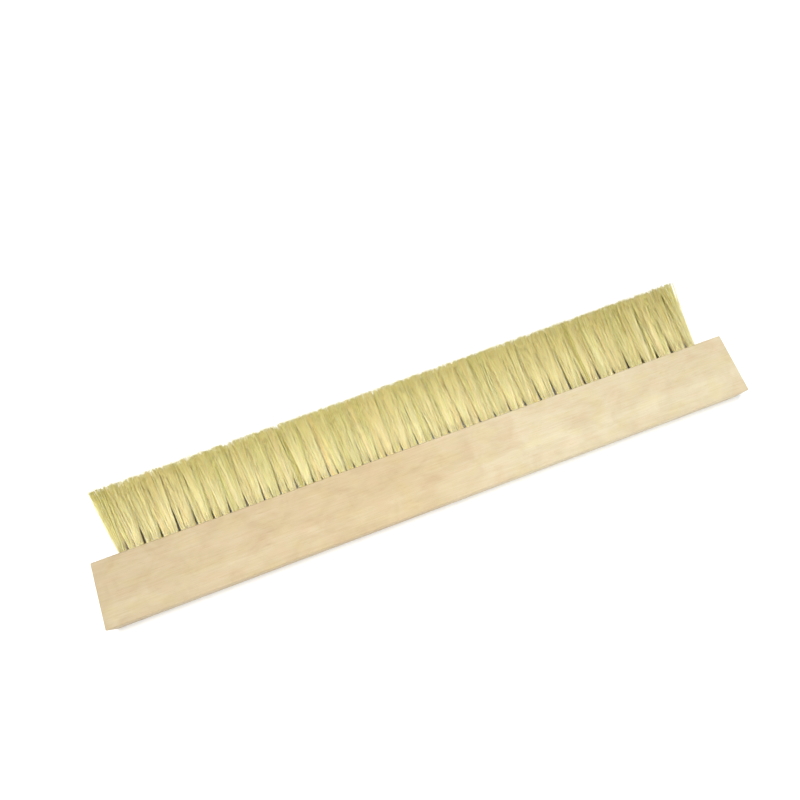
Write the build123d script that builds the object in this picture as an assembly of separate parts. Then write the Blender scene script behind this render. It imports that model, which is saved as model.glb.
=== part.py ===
from build123d import *
import math
import os

# Bee brush: a straight wooden stock with two staggered rows of bristle tufts.
# Millimetres. The brush lies on its lower broad face: X runs along the stock, Y from its back edge
# out through the bristles, Z up. The origin is the centre of the lower broad face of the stock.

# Stock
BLOCK_LENGTH = 400.0
BLOCK_WIDTH = 38.0
BLOCK_THICKNESS = 16.0
BLOCK_EDGE_RADIUS = 0.7

# Drilled holes: the lower row stands half a pitch along, between the holes of the upper row
END_MARGIN = 16.4
UPPER_ROW_HOLES = 37
LOWER_ROW_HOLES = UPPER_ROW_HOLES - 1
ROW_PITCH = 2.8
HOLE_DIAMETER = 4.8
HOLE_DEPTH = 12.0
DRILL_OVERRUN = 1.0

# Tufts: a folded bundle in the hole, flaring to the trimmed tip
TUFT_CLEARANCE = 0.05
FOLD_CHAMFER = 1.0
TIP_DIAMETER = 7.2
FREE_LENGTH_LEFT = 40.0
FREE_LENGTH_RIGHT = 44.0
ROW_TIP_SPREAD = 2.0

# Sideways lean in degrees, negative towards -X: it turns evenly along the stock, and the tufts
# near the ends splay outwards a little more, mostly at the left
LEAN_LEFT = -6.0
LEAN_RIGHT = 1.0
END_SPLAY_LEFT = 2.5
END_SPLAY_RIGHT = 0.5
END_SPLAY_REACH = 18.0

# Anchors: a cut of flat wire driven edge-on across the fold, biting into the wood at both ends
ANCHOR_LENGTH = 6.2
ANCHOR_HEIGHT = 1.6
ANCHOR_THICKNESS = 0.4
ANCHOR_CORNER = 0.5
ANCHOR_ABOVE_HOLE_BOTTOM = 1.6

HOLE_PITCH = (BLOCK_LENGTH - 2 * END_MARGIN) / (UPPER_ROW_HOLES - 1)
FACE_Y = BLOCK_WIDTH / 2
HOLE_BOTTOM_Y = FACE_Y - HOLE_DEPTH
ANCHOR_Y = HOLE_BOTTOM_Y + ANCHOR_ABOVE_HOLE_BOTTOM
TUFT_ROOT_RADIUS = HOLE_DIAMETER / 2 - TUFT_CLEARANCE
LAST_HOLE_X = BLOCK_LENGTH / 2 - END_MARGIN
FIRST_HOLE_X = -LAST_HOLE_X
MIDDLE_Z = BLOCK_THICKNESS / 2

# Each row: name, height above the broad face, number of holes, x of its first hole, rise at the tips
ROWS = [
    ("upper", MIDDLE_Z + ROW_PITCH / 2, UPPER_ROW_HOLES, FIRST_HOLE_X, ROW_TIP_SPREAD),
    ("lower", MIDDLE_Z - ROW_PITCH / 2, LOWER_ROW_HOLES, FIRST_HOLE_X + HOLE_PITCH / 2, -ROW_TIP_SPREAD),
]


def plane_across_hole(x, y, z):
    """A plane square to the holes, facing out of the mouth, with its own X along the stock."""
    return Plane(origin=(x, y, z), x_dir=(1, 0, 0), z_dir=(0, 1, 0))


def share_along(x):
    """How far along the row of holes x lies, from 0 at its left end to 1 at its right."""
    return (x - FIRST_HOLE_X) / (LAST_HOLE_X - FIRST_HOLE_X)


def free_length(x):
    """Bristle length outside the stock: the trimmed edge runs straight, slightly out of parallel."""
    return FREE_LENGTH_LEFT + (FREE_LENGTH_RIGHT - FREE_LENGTH_LEFT) * share_along(x)


def lean_angle(x):
    """Sideways lean of the tuft rooted at x."""
    even = LEAN_LEFT + (LEAN_RIGHT - LEAN_LEFT) * share_along(x)
    at_left = END_SPLAY_LEFT * math.exp(-(x - FIRST_HOLE_X) / END_SPLAY_REACH)
    at_right = END_SPLAY_RIGHT * math.exp(-(LAST_HOLE_X - x) / END_SPLAY_REACH)
    return even - at_left + at_right


def make_anchor(x, z):
    """Flat wire on edge across the hole, with its two leading corners cut off."""
    half = ANCHOR_LENGTH / 2
    with BuildPart() as anchor:
        with BuildSketch(Plane.XY.offset(z - ANCHOR_THICKNESS / 2)):
            with BuildLine():
                Polyline(
                    (x - half + ANCHOR_CORNER, ANCHOR_Y),
                    (x + half - ANCHOR_CORNER, ANCHOR_Y),
                    (x + half, ANCHOR_Y + ANCHOR_CORNER),
                    (x + half, ANCHOR_Y + ANCHOR_HEIGHT),
                    (x - half, ANCHOR_Y + ANCHOR_HEIGHT),
                    (x - half, ANCHOR_Y + ANCHOR_CORNER),
                    close=True,
                )
            make_face()
        extrude(amount=ANCHOR_THICKNESS)
    return anchor.part


def make_tuft(x, z, tip_rise, anchor):
    """One bundle: the folded root in its hole, and the leaning flare outside the stock."""
    length = free_length(x)
    tip_x = x + length * math.tan(math.radians(lean_angle(x)))
    with BuildPart() as tuft:
        with BuildSketch(plane_across_hole(x, HOLE_BOTTOM_Y, z)):
            Circle(TUFT_ROOT_RADIUS)
        extrude(amount=HOLE_DEPTH)
        chamfer(tuft.edges().sort_by(Axis.Y)[0], FOLD_CHAMFER)
        with BuildSketch(plane_across_hole(x, FACE_Y, z)):
            Circle(TUFT_ROOT_RADIUS)
        with BuildSketch(plane_across_hole(tip_x, FACE_Y + length, z + tip_rise)):
            Circle(TIP_DIAMETER / 2)
        loft(ruled=True)
    return tuft.part - anchor


def make_hole(x, z):
    """The blind hole that is drilled for one tuft."""
    with BuildPart() as hole:
        with BuildSketch(plane_across_hole(x, HOLE_BOTTOM_Y, z)):
            Circle(HOLE_DIAMETER / 2)
        extrude(amount=HOLE_DEPTH + DRILL_OVERRUN)
    return hole.part


def make_block(holes, anchors):
    """The wooden stock, with eased edges, its holes and the bites that the anchors make."""
    with BuildPart() as block:
        with Locations((0, 0, MIDDLE_Z)):
            Box(BLOCK_LENGTH, BLOCK_WIDTH, BLOCK_THICKNESS)
        fillet(block.edges(), BLOCK_EDGE_RADIUS)
    return block.part - (holes + anchors)


def write_node(name, solids, colour):
    """Write one sub-part as parts/NAME.step, each of its pieces a separate solid."""
    node = Compound(label=name, children=solids) if len(solids) > 1 else solids[0]
    node.label = name
    node.color = colour
    export_step(node, f"parts/{name}.step")


def main():
    os.makedirs("parts", exist_ok=True)
    wood = Color(0.87, 0.78, 0.62)
    bristle = Color(0.89, 0.82, 0.55)
    steel = Color(0.7, 0.7, 0.7)
    stations = [[] for _ in range(UPPER_ROW_HOLES)]
    all_holes = []
    all_anchors = []
    for row_name, z, count, first_x, tip_rise in ROWS:
        row_anchors = []
        for station in range(count):
            x = first_x + station * HOLE_PITCH
            anchor = make_anchor(x, z)
            stations[station].append(make_tuft(x, z, tip_rise, anchor))
            row_anchors.append(anchor)
            all_holes.append(make_hole(x, z))
        all_anchors += row_anchors
        write_node(f"{row_name}_row_anchors", row_anchors, steel)
    for number, tufts in enumerate(stations, start=1):
        write_node(f"tufts_{number:02d}", tufts, bristle)
    write_node("wood_block", [make_block(all_holes, all_anchors)], wood)


main()
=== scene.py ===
import math

import bpy
import numpy as np
from mathutils import Matrix, Vector


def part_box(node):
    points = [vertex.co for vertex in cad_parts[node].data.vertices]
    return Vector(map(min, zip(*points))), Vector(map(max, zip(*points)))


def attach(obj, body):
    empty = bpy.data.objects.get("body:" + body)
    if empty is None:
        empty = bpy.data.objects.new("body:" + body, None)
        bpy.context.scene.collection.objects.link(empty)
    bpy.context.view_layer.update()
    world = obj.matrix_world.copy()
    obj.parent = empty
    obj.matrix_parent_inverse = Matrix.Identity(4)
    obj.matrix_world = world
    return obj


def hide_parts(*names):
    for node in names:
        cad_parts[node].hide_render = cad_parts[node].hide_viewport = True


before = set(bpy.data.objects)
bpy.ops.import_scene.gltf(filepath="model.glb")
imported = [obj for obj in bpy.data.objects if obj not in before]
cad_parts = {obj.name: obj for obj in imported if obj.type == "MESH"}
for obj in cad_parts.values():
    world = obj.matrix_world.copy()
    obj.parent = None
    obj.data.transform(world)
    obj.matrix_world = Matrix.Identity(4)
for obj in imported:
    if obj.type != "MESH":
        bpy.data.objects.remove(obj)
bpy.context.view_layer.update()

MM = 0.001

# Strands of one tuft
STRANDS_PER_TUFT = 240
STRAND_RADIUS = 0.11 * MM
STRAND_WIDTHS = (0.8, 1.2)
STRAND_TIP_TAPER = 0.75
STRAND_SIDES = 4
FIRST_CORNER = 0.25
SEED_BASE = 1000
STATIONS_ALONG = np.array([0.0, 0.03, 0.14, 0.32, 0.54, 0.78, 1.0])
FLARE_POWER = 1.12
UNDERSIDE_FLARE_POWER = 0.4
ROOT_RADIUS = 2.1 * MM
ROOT_SINK = 1.3 * MM
TIP_REACH_X = 4.5 * MM
TIP_REACH_OUT = 3.8 * MM
TIP_REACH_IN = 9.5 * MM
TIP_SQUARENESS = 0.6
FLOOR_GAP = 0.25 * MM
TRIM_ROUGHNESS = 0.38 * MM

# How the strands of a tuft gather into locks and stray
LOCKS_PER_TUFT = 9
LOCK_SPREAD = 0.95
LOCK_PULL = 0.28
LEAST_PULL = 0.3
LOCK_SHIFT = 0.09
STRAND_SCATTER = 0.11
LOCK_BEND = 0.3 * MM
TUFT_STRAY = 0.45 * MM
WISP_SHARE = 0.02
WISP_SCATTER = 0.4
WISP_SHORTENING = 1.6 * MM
STRAY_LIMIT = 1.15
CURL = 0.25 * MM
SWAY = 0.8 * MM

# Colour values of the strands, 0 to 1: mean and spread, and how far a whole lock shifts them
TONE = (0.66, 0.22)
WARMTH = (0.5, 0.2)
LOCK_TONE = 0.15
LOCK_WARMTH_SHARE = 0.8

# A tuft's tip is what lies this near its furthest point
TIP_SLICE = 0.6 * MM

ROW_ANCHORS = ("upper_row_anchors", "lower_row_anchors")

# The stock's wood: colours along it, where the pith of its tree would be, and the growth rings
WOOD_LEFT = (191, 178, 148)
WOOD_MIDDLE = (197, 181, 146)
WOOD_RIGHT = (208, 199, 171)
WOOD_RAMP = ((0.0, WOOD_LEFT), (0.45, WOOD_MIDDLE), (0.65, WOOD_RIGHT), (1.0, WOOD_RIGHT))
PITH_Y = 9.0 * MM
PITH_Z = -62.0 * MM
RING_SPACING = 2.4 * MM
RING_WANDER = 5.0 * MM
WHITE = (255, 255, 255)

# The bristles: colours from the root to the trimmed end, the last stop darkening the cut ends as
# painted shade between the tips, and by each strand's tone and warmth
BRISTLE_TONE_AND_TIP_SHADE_RAMP = (
    (0.0, (251, 241, 194)),
    (0.12, (251, 241, 192)),
    (0.3, (248, 238, 188)),
    (0.5, (245, 235, 182)),
    (0.75, (239, 228, 168)),
    (0.96, (228, 216, 154)),
    # painted shade: the cut ends darkened to stand for the shade between the tips
    (1.0, (202, 192, 136)),
)
TONE_RAMP = ((0.0, (214, 200, 160)), (0.35, (248, 245, 234)), (1.0, WHITE))
WARMTH_RAMP = ((0.0, (244, 255, 236)), (0.6, WHITE), (1.0, (255, 242, 222)))
SPECKLE_RAMP = ((0.3, (248, 244, 232)), (0.6, WHITE))

# Floor and lights, in metres and watts; every light aims at the origin
FLOOR_HALF_WIDTH = 3.0
WORLD_STRENGTH = 0.3
LIGHTS = (
    # name, place, diameter, power
    ("overhead", (-0.15, 0.12, 1.4), 0.6, 16.2),
    ("behind", (0.1, -1.0, 0.8), 0.8, 7.5),
    ("front", (-0.2, 1.0, 1.0), 0.8, 5.5),
)
DIFFUSE_BOUNCES = 10

# Camera: its place, in stock lengths from the stock's back left upper corner, and its directions
CAMERA_PLACE = (0.3817, -0.0710, 0.9063)
CAMERA_RIGHT = (0.9371, -0.3484, 0.0190)
CAMERA_LOOK = (0.1140, 0.2541, -0.9604)
CAMERA_LENS = 28.04
CAMERA_CLIP_START = 0.01
SENSOR_WIDTH = 36.0


# ---------------------------------------------------------------- node helpers

def new_material(name):
    """An empty node material with a Principled shader wired to its output."""
    material = bpy.data.materials.new(name)
    material.use_nodes = True
    tree = material.node_tree
    tree.nodes.clear()
    output = tree.nodes.new("ShaderNodeOutputMaterial")
    shader = tree.nodes.new("ShaderNodeBsdfPrincipled")
    tree.links.new(shader.outputs["BSDF"], output.inputs["Surface"])
    return material, tree, shader


def linear(red, green, blue):
    """A colour given as 0-255 screen values, as the linear values that a shader takes."""
    def channel(value):
        value = value / 255.0
        return value / 12.92 if value <= 0.04045 else ((value + 0.055) / 1.055) ** 2.4
    return (channel(red), channel(green), channel(blue), 1.0)


def coordinates(tree, scale, place=(0.0, 0.0, 0.0)):
    """Object coordinates, stretched for one texture."""
    source = tree.nodes.new("ShaderNodeTexCoord")
    mapping = tree.nodes.new("ShaderNodeMapping")
    mapping.inputs["Scale"].default_value = scale
    mapping.inputs["Location"].default_value = place
    tree.links.new(source.outputs["Object"], mapping.inputs["Vector"])
    return mapping.outputs["Vector"]


def noise(tree, vector, detail, roughness=0.5, distortion=0.0):
    """A noise value; the scale is in the coordinates."""
    node = tree.nodes.new("ShaderNodeTexNoise")
    node.inputs["Scale"].default_value = 1.0
    node.inputs["Detail"].default_value = detail
    node.inputs["Roughness"].default_value = roughness
    node.inputs["Distortion"].default_value = distortion
    tree.links.new(vector, node.inputs["Vector"])
    return node.outputs["Fac"]


def ramp(tree, value, stops):
    """A colour ramp from (position, colour) stops."""
    node = tree.nodes.new("ShaderNodeValToRGB")
    elements = node.color_ramp.elements
    while len(elements) < len(stops):
        elements.new(0.5)
    for element, (position, colour) in zip(elements, stops):
        element.position = position
        element.color = colour
    tree.links.new(value, node.inputs["Fac"])
    return node.outputs["Color"]


def screen_ramp(tree, value, stops):
    """A colour ramp from (position, colour) stops, with the colours as 0-255 screen values."""
    return ramp(tree, value, [(position, linear(*colour)) for position, colour in stops])


def remap(tree, value, from_low, from_high, to_low, to_high):
    """A value stretched from one range to another."""
    node = tree.nodes.new("ShaderNodeMapRange")
    node.inputs["From Min"].default_value = from_low
    node.inputs["From Max"].default_value = from_high
    node.inputs["To Min"].default_value = to_low
    node.inputs["To Max"].default_value = to_high
    tree.links.new(value, node.inputs["Value"])
    return node.outputs["Result"]


def multiply(tree, amount, first, second):
    """One colour multiplied by another, as far as amount says."""
    node = tree.nodes.new("ShaderNodeMix")
    node.data_type = "RGBA"
    node.blend_type = "MULTIPLY"
    inputs = {socket.identifier: socket for socket in node.inputs}
    inputs["Factor_Float"].default_value = amount
    tree.links.new(first, inputs["A_Color"])
    tree.links.new(second, inputs["B_Color"])
    return next(s for s in node.outputs if s.identifier == "Result_Color")


def maths(tree, operation, first, second):
    """One operation on two values; each may be a socket or a number."""
    node = tree.nodes.new("ShaderNodeMath")
    node.operation = operation
    for socket, value in zip(node.inputs, (first, second)):
        if isinstance(value, bpy.types.NodeSocket):
            tree.links.new(value, socket)
        else:
            socket.default_value = value
    return node.outputs["Value"]


def attribute(tree, name):
    """A value that each corner point of the mesh carries."""
    node = tree.nodes.new("ShaderNodeAttribute")
    node.attribute_name = name
    return node.outputs["Fac"]


def bump(tree, shader, height, distance, strength):
    """Fine relief from a height value."""
    node = tree.nodes.new("ShaderNodeBump")
    node.inputs["Strength"].default_value = strength
    node.inputs["Distance"].default_value = distance
    tree.links.new(height, node.inputs["Height"])
    tree.links.new(node.outputs["Normal"], shader.inputs["Normal"])


# ---------------------------------------------------------------- materials

def wood_material():
    """Bare pale sanded wood: faint rings round a far pith, soft clouds, fine pores along X."""
    material, tree, shader = new_material("pale_wood")
    low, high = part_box("wood_block")
    clouds = noise(tree, coordinates(tree, (60, 75, 75)), detail=3, roughness=0.55, distortion=0.8)
    blush = noise(tree, coordinates(tree, (70, 120, 120), place=(3, 1, 7)), detail=2, roughness=0.5)
    fibres = noise(tree, coordinates(tree, (70, 2600, 2600)), detail=4, roughness=0.6)
    pores = noise(tree, coordinates(tree, (180, 2400, 2400)), detail=1)

    place = tree.nodes.new("ShaderNodeSeparateXYZ")
    tree.links.new(coordinates(tree, (1, 1, 1)), place.inputs["Vector"])
    wander = noise(tree, coordinates(tree, (6, 30, 30)), detail=2)
    across = tree.nodes.new("ShaderNodeCombineXYZ")
    tree.links.new(maths(tree, "SUBTRACT", place.outputs["Y"], PITH_Y), across.inputs["Y"])
    tree.links.new(maths(tree, "SUBTRACT", place.outputs["Z"], PITH_Z), across.inputs["Z"])
    distance = tree.nodes.new("ShaderNodeVectorMath")
    distance.operation = "LENGTH"
    tree.links.new(across.outputs["Vector"], distance.inputs[0])
    wandered = maths(tree, "MULTIPLY", wander, RING_WANDER)
    radius = maths(tree, "ADD", distance.outputs["Value"], wandered)
    years = tree.nodes.new("ShaderNodeTexNoise")
    years.noise_dimensions = "1D"
    years.inputs["Scale"].default_value = 1.0 / RING_SPACING
    years.inputs["Detail"].default_value = 3.0
    tree.links.new(radius, years.inputs["W"])
    rings = years.outputs["Fac"]

    end_to_end = remap(tree, place.outputs["X"], low.x, high.x, 0.0, 1.0)
    colour = screen_ramp(tree, end_to_end, WOOD_RAMP)
    layers = (
        (clouds, 1.0, ((0.32, (243, 239, 233)), (0.5, (250, 249, 245)), (0.68, WHITE))),
        (blush, 1.0, ((0.35, (255, 252, 243)), (0.5, (254, 252, 251)), (0.68, (255, 248, 246)))),
        (rings, 1.0, ((0.25, (247, 243, 238)), (0.7, WHITE))),
        (fibres, 1.0, ((0.3, (246, 243, 238)), (0.62, WHITE))),
        (pores, 0.35, ((0.25, (226, 212, 192)), (0.33, WHITE))),
    )
    for value, amount, stops in layers:
        colour = multiply(tree, amount, colour, screen_ramp(tree, value, stops))
    tree.links.new(colour, shader.inputs["Base Color"])
    tree.links.new(remap(tree, fibres, 0.3, 0.7, 0.72, 0.55), shader.inputs["Roughness"])
    fibre_height = maths(tree, "MULTIPLY", fibres, 0.6)
    ring_height = maths(tree, "MULTIPLY", rings, 0.3)
    height = maths(tree, "ADD", fibre_height, ring_height)
    bump(tree, shader, height, 0.1 * MM, 0.6)
    return material


def bristle_material():
    """Cream natural bristle: pale at the root, tanner to the trimmed end, with painted shade
    darkening the cut ends, no two strands alike.
    """
    material, tree, shader = new_material("natural_bristle")
    along = attribute(tree, "along")
    tone = attribute(tree, "tone")
    warmth = attribute(tree, "warmth")
    speckle = noise(tree, coordinates(tree, (1800, 260, 1800)), detail=2)
    colour = screen_ramp(tree, along, BRISTLE_TONE_AND_TIP_SHADE_RAMP)
    for value, stops in ((tone, TONE_RAMP), (warmth, WARMTH_RAMP), (speckle, SPECKLE_RAMP)):
        colour = multiply(tree, 1.0, colour, screen_ramp(tree, value, stops))
    tree.links.new(colour, shader.inputs["Base Color"])
    tree.links.new(remap(tree, speckle, 0.3, 0.7, 0.38, 0.6), shader.inputs["Roughness"])
    shader.inputs["Specular IOR Level"].default_value = 0.15
    shader.inputs["Subsurface Weight"].default_value = 0.35
    shader.inputs["Subsurface Radius"].default_value = (1.0, 0.8, 0.4)
    shader.inputs["Subsurface Scale"].default_value = 0.5 * MM
    bump(tree, shader, speckle, 0.02 * MM, 0.4)
    return material


def wire_material():
    """Bright drawn steel wire."""
    material, tree, shader = new_material("drawn_steel_wire")
    marks = noise(tree, coordinates(tree, (400, 4000, 6000)), detail=4)
    colour = screen_ramp(tree, marks, ((0.3, (150, 150, 150)), (0.7, (205, 204, 200))))
    tree.links.new(colour, shader.inputs["Base Color"])
    tree.links.new(remap(tree, marks, 0.3, 0.7, 0.42, 0.25), shader.inputs["Roughness"])
    shader.inputs["Metallic"].default_value = 1.0
    bump(tree, shader, marks, 0.02 * MM, 0.5)
    return material


def floor_material():
    """Matt, nearly even white."""
    material, tree, shader = new_material("studio_floor")
    cloth = noise(tree, coordinates(tree, (3, 3, 3)), detail=2)
    colour = ramp(tree, cloth, [(0.3, (0.90, 0.90, 0.90, 1.0)), (0.7, (0.92, 0.92, 0.92, 1.0))])
    tree.links.new(colour, shader.inputs["Base Color"])
    shader.inputs["Roughness"].default_value = 0.9
    shader.inputs["Specular IOR Level"].default_value = 0.1
    return material


# ---------------------------------------------------------------- bristles

def read_tufts():
    """Root and tip centres of every tuft, read from the CAD: {node: [(root, tip), ...]}."""
    names = sorted(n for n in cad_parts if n.startswith("tufts_"))
    face_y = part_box("wood_block")[1].y
    upper, lower = (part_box(row) for row in ROW_ANCHORS)
    upper_span = upper[1].x - upper[0].x
    pitch = upper_span - (lower[1].x - lower[0].x)
    half_anchor = (upper_span - (len(names) - 1) * pitch) / 2
    tufts = {}
    for station, name in enumerate(names):
        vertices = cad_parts[name].data.vertices
        points = np.empty(len(vertices) * 3)
        vertices.foreach_get("co", points)
        points = points.reshape(-1, 3)
        tips = points[points[:, 1] > points[:, 1].max() - TIP_SLICE]
        roots = [
            np.array([low.x + half_anchor + station * pitch, face_y, (low.z + high.z) / 2])
            for low, high in (upper, lower)
        ]
        if station == len(names) - 1:
            tufts[name] = [(roots[0], middle(tips))]
            continue
        side = tips @ (roots[1] - roots[0])
        halfway = (side.min() + side.max()) / 2
        tufts[name] = [
            (roots[0], middle(tips[side < halfway])),
            (roots[1], middle(tips[side > halfway])),
        ]
    return tufts


def middle(points):
    """Middle of the box round some points."""
    return (points.min(0) + points.max(0)) / 2


def tuft_strands(root, tip, rng):
    """Centrelines of one tuft's strands, (strand, point, xyz), and each strand's own values."""
    n = STRANDS_PER_TUFT
    reach = np.sqrt(rng.uniform(0, 1, n))
    turn = rng.uniform(0, 2 * math.pi, n)
    disc = np.stack([reach * np.cos(turn), reach * np.sin(turn)], 1)

    locks = rng.uniform(-LOCK_SPREAD, LOCK_SPREAD, (LOCKS_PER_TUFT, 2))
    lock = np.argmin(((disc[:, None] - locks[None]) ** 2).sum(2), 1)
    lock_shift = rng.normal(0, LOCK_SHIFT, (LOCKS_PER_TUFT, 2))
    lock_bend = rng.normal(0, LOCK_BEND, (LOCKS_PER_TUFT, 1, 2))
    lock_tone = rng.normal(0, LOCK_TONE, LOCKS_PER_TUFT)
    longest = np.abs(disc).max(1, keepdims=True)
    to_square = 1 + TIP_SQUARENESS * (reach[:, None] / longest - 1)
    pull = rng.uniform(LEAST_PULL, 1.0, n)[:, None]
    at_tip = disc + (locks[lock] - disc) * LOCK_PULL * pull
    at_tip *= to_square
    at_tip += lock_shift[lock] + rng.normal(0, STRAND_SCATTER, (n, 2))
    wisp = rng.uniform(0, 1, n) < WISP_SHARE
    at_tip[wisp] += rng.normal(0, WISP_SCATTER, (wisp.sum(), 2))
    stretch = np.linalg.norm(at_tip, axis=1, keepdims=True)
    at_tip *= np.minimum(stretch, STRAY_LIMIT) / stretch

    start = np.empty((n, 3))
    start[:, 0] = root[0] + disc[:, 0] * ROOT_RADIUS
    start[:, 1] = root[1] - ROOT_SINK
    start[:, 2] = root[2] + disc[:, 1] * ROOT_RADIUS
    end = np.empty((n, 3))
    end[:, 0] = tip[0] + at_tip[:, 0] * TIP_REACH_X + rng.normal(0, TUFT_STRAY)
    end[:, 1] = tip[1] + rng.normal(0, TRIM_ROUGHNESS, n)
    outward = np.sign(tip[2] - root[2])
    reach_z = np.where(at_tip[:, 1] * outward > 0, TIP_REACH_OUT, TIP_REACH_IN)
    end[:, 2] = tip[2] + at_tip[:, 1] * reach_z
    end[wisp, 1] -= np.abs(rng.normal(0, WISP_SHORTENING, wisp.sum()))

    # a strand runs straight out of its hole and only then begins to spread
    s = STATIONS_ALONG[None, :, None]
    mouth = STATIONS_ALONG[1]
    free = np.maximum((s - mouth) / (1 - mouth), 0)
    flare = free ** FLARE_POWER
    # the strands underneath spread sideways sooner, and close the gaps between the tufts
    depth = np.clip(-disc[:, 1], 0, 1)[:, None, None]
    flare_x = free ** (FLARE_POWER + (UNDERSIDE_FLARE_POWER - FLARE_POWER) * depth)
    along = np.broadcast_to(s, flare_x.shape)
    up = np.broadcast_to(flare, flare_x.shape)
    lines = start[:, None] + (end - start)[:, None] * np.concatenate([flare_x, along, up], 2)
    curl = (rng.normal(0, CURL, (n, 1, 2)) + lock_bend[lock]) * np.sin(flare * math.pi)
    sway = rng.normal(0, SWAY, (n, 1, 2)) * flare ** 2
    lines[:, :, [0, 2]] += curl + sway
    lines[:, :, 2] = np.maximum(lines[:, :, 2], FLOOR_GAP)
    tone = np.clip(rng.normal(*TONE, n) + lock_tone[lock], 0, 1)
    warmth = np.clip(rng.normal(*WARMTH, n) + lock_tone[lock] * LOCK_WARMTH_SHARE, 0, 1)
    width = rng.uniform(*STRAND_WIDTHS, n)
    return lines, tone, warmth, width


def strands_mesh(name, lines, tone, warmth, width):
    """A closed tapering tube round each centreline, all in one mesh."""
    n, rings, _ = lines.shape
    tangent = np.gradient(lines, axis=1)
    tangent /= np.linalg.norm(tangent, axis=2, keepdims=True)
    side = np.cross(tangent, np.array([0.0, 0.0, 1.0]))
    side /= np.linalg.norm(side, axis=2, keepdims=True)
    other = np.cross(side, tangent)
    taper = 1 - (1 - STRAND_TIP_TAPER) * STATIONS_ALONG
    radius = STRAND_RADIUS * width[:, None] * taper[None]
    corners = []
    for k in range(STRAND_SIDES):
        angle = 2 * math.pi * (k + FIRST_CORNER) / STRAND_SIDES
        offset = side * math.cos(angle) + other * math.sin(angle)
        corners.append(lines + offset * radius[:, :, None])
    points = np.stack(corners, 2).reshape(-1, 3)

    ring = np.arange(STRAND_SIDES)
    ahead = (ring + 1) % STRAND_SIDES
    quads = []
    for r in range(rings - 1):
        low = r * STRAND_SIDES
        high = low + STRAND_SIDES
        quads.append(np.stack([low + ring, low + ahead, high + ahead, high + ring], 1))
    quads = np.concatenate(quads)
    per_strand = rings * STRAND_SIDES
    base = (np.arange(n) * per_strand)[:, None, None]
    quads = (quads[None] + base).reshape(-1, 4)
    first_cap = ring[::-1][None] + base[:, 0]
    last_cap = (ring + per_strand - STRAND_SIDES)[None] + base[:, 0]
    caps = np.concatenate([first_cap, last_cap])

    mesh = bpy.data.meshes.new(name)
    mesh.vertices.add(len(points))
    mesh.vertices.foreach_set("co", points.astype(np.float32).ravel())
    loops = np.concatenate([quads.ravel(), caps.ravel()])
    mesh.loops.add(len(loops))
    mesh.loops.foreach_set("vertex_index", loops.astype(np.int32))
    sizes = np.concatenate([np.full(len(quads), 4), np.full(len(caps), STRAND_SIDES)])
    starts = np.concatenate([[0], np.cumsum(sizes)[:-1]])
    mesh.polygons.add(len(sizes))
    mesh.polygons.foreach_set("loop_start", starts.astype(np.int32))
    smooth = np.concatenate([np.ones(len(quads), bool), np.zeros(len(caps), bool)])
    mesh.update(calc_edges=True)
    mesh.polygons.foreach_set("use_smooth", smooth)
    along = np.broadcast_to(STATIONS_ALONG[None, :, None], (n, rings, STRAND_SIDES))
    for label, values in (("along", along), ("tone", tone), ("warmth", warmth)):
        if values.ndim == 1:
            values = np.repeat(values, per_strand)
        layer = mesh.attributes.new(label, "FLOAT", "POINT")
        layer.data.foreach_set("value", np.ascontiguousarray(values, np.float32).ravel())
    mesh.validate()
    return mesh


def make_bristles(material):
    """One piece for each station of tufts along the stock, in place of its CAD solids."""
    for number, (node, tufts) in enumerate(read_tufts().items(), start=1):
        rng = np.random.default_rng(SEED_BASE + number)
        made = [tuft_strands(root, tip, rng) for root, tip in tufts]
        lines, tone, warmth, width = (np.concatenate(part) for part in zip(*made))
        name = f"bristles_{number:02d}"
        piece = bpy.data.objects.new(name, strands_mesh(name, lines, tone, warmth, width))
        bpy.context.scene.collection.objects.link(piece)
        piece.data.materials.append(material)
        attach(piece, "root")
        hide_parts(node)


# ---------------------------------------------------------------- stage, light and camera

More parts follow.
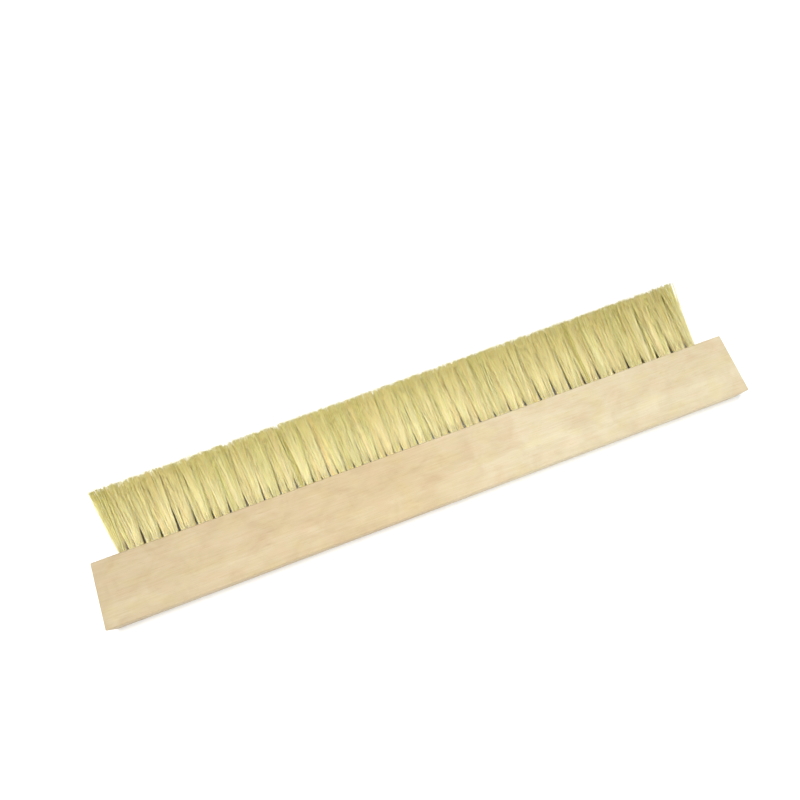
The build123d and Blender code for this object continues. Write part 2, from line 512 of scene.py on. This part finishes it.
def paint_nodes():
    """Better materials for the CAD nodes that stay."""
    paint = {"wood_block": wood_material()}
    wire = wire_material()
    for row in ROW_ANCHORS:
        paint[row] = wire
    for node, material in paint.items():
        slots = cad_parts[node].data.materials
        slots.clear()
        slots.append(material)


def make_floor():
    """A large flat floor under the brush."""
    size = FLOOR_HALF_WIDTH
    mesh = bpy.data.meshes.new("floor")
    corners = [(-size, -size, 0), (size, -size, 0), (size, size, 0), (-size, size, 0)]
    mesh.from_pydata(corners, [], [(0, 1, 2, 3)])
    floor = bpy.data.objects.new("floor", mesh)
    bpy.context.scene.collection.objects.link(floor)
    mesh.materials.append(floor_material())


def area_light(name, place, size, power):
    """A round white light that aims at the origin."""
    light = bpy.data.lights.new(name, "AREA")
    light.shape = "DISK"
    light.size = size
    light.energy = power
    lamp = bpy.data.objects.new(name, light)
    lamp.location = place
    lamp.rotation_euler = (-Vector(place)).to_track_quat("-Z", "Y").to_euler()
    bpy.context.scene.collection.objects.link(lamp)


def make_light():
    """An even white surround and the three lights."""
    world = bpy.data.worlds.new("studio")
    world.use_nodes = True
    background = world.node_tree.nodes["Background"]
    background.inputs["Color"].default_value = (1.0, 1.0, 1.0, 1.0)
    background.inputs["Strength"].default_value = WORLD_STRENGTH
    bpy.context.scene.world = world
    for light in LIGHTS:
        area_light(*light)


def make_camera():
    """The photograph's camera."""
    low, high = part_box("wood_block")
    corner = Vector((low.x, low.y, high.z))
    place = corner + (high.x - low.x) * Vector(CAMERA_PLACE)
    back = -Vector(CAMERA_LOOK).normalized()
    up = back.cross(Vector(CAMERA_RIGHT)).normalized()
    right = up.cross(back)
    camera = bpy.data.objects.new("camera", bpy.data.cameras.new("camera"))
    camera.data.lens = CAMERA_LENS
    camera.data.sensor_width = SENSOR_WIDTH
    camera.data.clip_start = CAMERA_CLIP_START
    turn = Matrix((right, up, back)).transposed().to_4x4()
    camera.matrix_world = Matrix.Translation(place) @ turn
    bpy.context.scene.collection.objects.link(camera)
    bpy.context.scene.camera = camera


paint_nodes()
make_bristles(bristle_material())
make_floor()
make_light()
make_camera()
bpy.context.scene.view_settings.view_transform = "Standard"
bpy.context.scene.cycles.diffuse_bounces = DIFFUSE_BOUNCES

bpy.context.view_layer.update()
